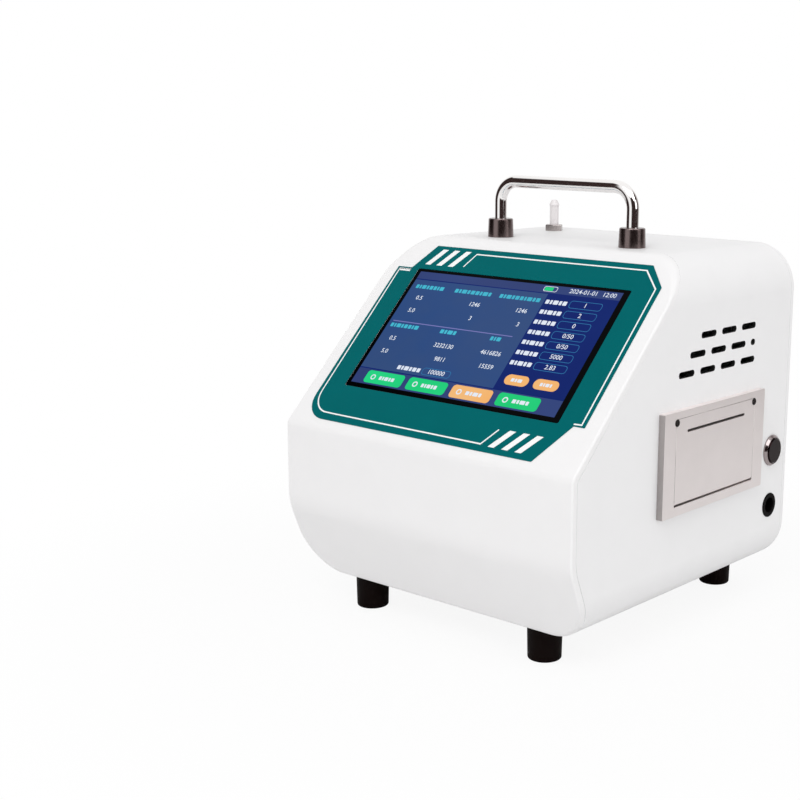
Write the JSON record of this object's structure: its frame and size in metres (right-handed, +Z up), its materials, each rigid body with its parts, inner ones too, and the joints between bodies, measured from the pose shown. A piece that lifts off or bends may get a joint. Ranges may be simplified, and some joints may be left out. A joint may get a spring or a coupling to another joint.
{
  "type": "airborne particle counter",
  "caption": "Bench-top airborne particle counter with sloping touch screen, rod handle, sampling inlet, side paper printer and rubber feet",
  "frame": {"origin": "centre of the part's bounding box in plan, on the floor under the feet", "axes": "+X to the right seen from the front, +Y to the back, +Z up; the screen faces -Y"},
  "size_m": [0.2194, 0.2218, 0.2573],
  "materials": {
    "shell_white": "smooth satin white paint",
    "panel_white": "smooth white moulding, low gloss",
    "screw_steel": "plain zinc plated steel",
    "overlay_teal": "printed teal film with white lines",
    "glass_black": "black bordered touch glass over a lit screen",
    "display_metal": "folded steel back of the display",
    "handle_steel": "polished stainless rod",
    "ferrule_dark": "polished dark metal collar",
    "nut_steel": "nickel plated",
    "nozzle_white": "milky translucent plastic",
    "hose_clear": "soft clear hose",
    "printer_grey": "fine textured warm grey",
    "latch_dark": "black plastic",
    "roller_rubber": "black rubber",
    "bay_dark": "black plastic",
    "paper_white": "plain white paper",
    "ring_chrome": "polished",
    "button_dark": "dark mirror polish",
    "socket_black": "black plastic",
    "foot_rubber": "black rubber",
    "sheet_metal": "plain sheet",
    "sensor_alloy": "black anodised block",
    "laser_brass": "plain turned",
    "pump_alloy": "dark cast housing",
    "filter_white": "white capsule",
    "battery_wrap": "blue shrink wrap",
    "board_green": "green circuit board"
  },
  "bodies": {
    "housing": {"side_shell": "shell_white", "front_panel": "panel_white", "rear_panel": "shell_white", "rear_screws": "screw_steel", "overlay": "overlay_teal", "touch_glass": "glass_black", "display_module": "display_metal", "handle": "handle_steel", "handle_ferrule_left": "ferrule_dark", "handle_ferrule_right": "ferrule_dark", "handle_screws": "screw_steel", "inlet_nut": "nut_steel", "inlet_nozzle": "nozzle_white", "inlet_tube": "hose_clear", "printer_frame": "printer_grey", "door_hinge_pin": "screw_steel", "printer_bay": "bay_dark", "print_head": "bay_dark", "paper_spindle": "bay_dark", "power_ring": "ring_chrome", "power_switch_body": "bay_dark", "ring_nut": "nut_steel", "power_socket": "socket_black", "socket_nut": "nut_steel", "foot_front_left": "foot_rubber", "foot_front_right": "foot_rubber", "foot_rear_left": "foot_rubber", "foot_rear_right": "foot_rubber", "foot_screws": "screw_steel", "chassis_plate": "sheet_metal", "sensor_block": "sensor_alloy", "laser_module": "laser_brass", "sensor_bracket": "sheet_metal", "sample_hose": "hose_clear", "pump": "pump_alloy", "exhaust_filter": "filter_white", "battery_pack": "battery_wrap", "main_board": "board_green", "board_standoffs": "laser_brass"},
    "button": {"power_button": "button_dark"},
    "door": {"printer_door": "printer_grey"},
    "platen": {"platen_roller": "roller_rubber", "platen_axle": "screw_steel"},
    "latch_left": {"door_latch_left": "latch_dark"},
    "latch_right": {"door_latch_right": "latch_dark"},
    "roll": {"paper_roll": "paper_white"}
  },
  "joints": [
    {"name": "power_button_press", "type": "slide", "parent": "housing", "child": "button", "axis": [-1, 0, 0], "range_m": [0, 0.001], "stiffness_N_per_m": 600, "springref_m": -0.001},
    {"name": "door_hinge", "type": "hinge", "parent": "housing", "child": "door", "pos_m": [0.10745, 0.0187, 0.08415], "axis": [0, 1, 0], "range_deg": [0, 100]},
    {"name": "latch_left_press", "type": "slide", "parent": "housing", "child": "latch_left", "axis": [-1, 0, 0], "range_m": [0, 0.0012], "stiffness_N_per_m": 500, "springref_m": -0.001},
    {"name": "latch_right_press", "type": "slide", "parent": "housing", "child": "latch_right", "axis": [-1, 0, 0], "range_m": [0, 0.0012], "stiffness_N_per_m": 500, "springref_m": -0.001},
    {"name": "platen_turn", "type": "hinge", "parent": "door", "child": "platen", "pos_m": [0.10105, 0.0187, 0.1175], "axis": [0, 1, 0], "continuous": true},
    {"name": "paper_roll_turn", "type": "hinge", "parent": "housing", "child": "roll", "pos_m": [0.06935, 0.0187, 0.104], "axis": [0, 1, 0], "continuous": true}
  ]
}
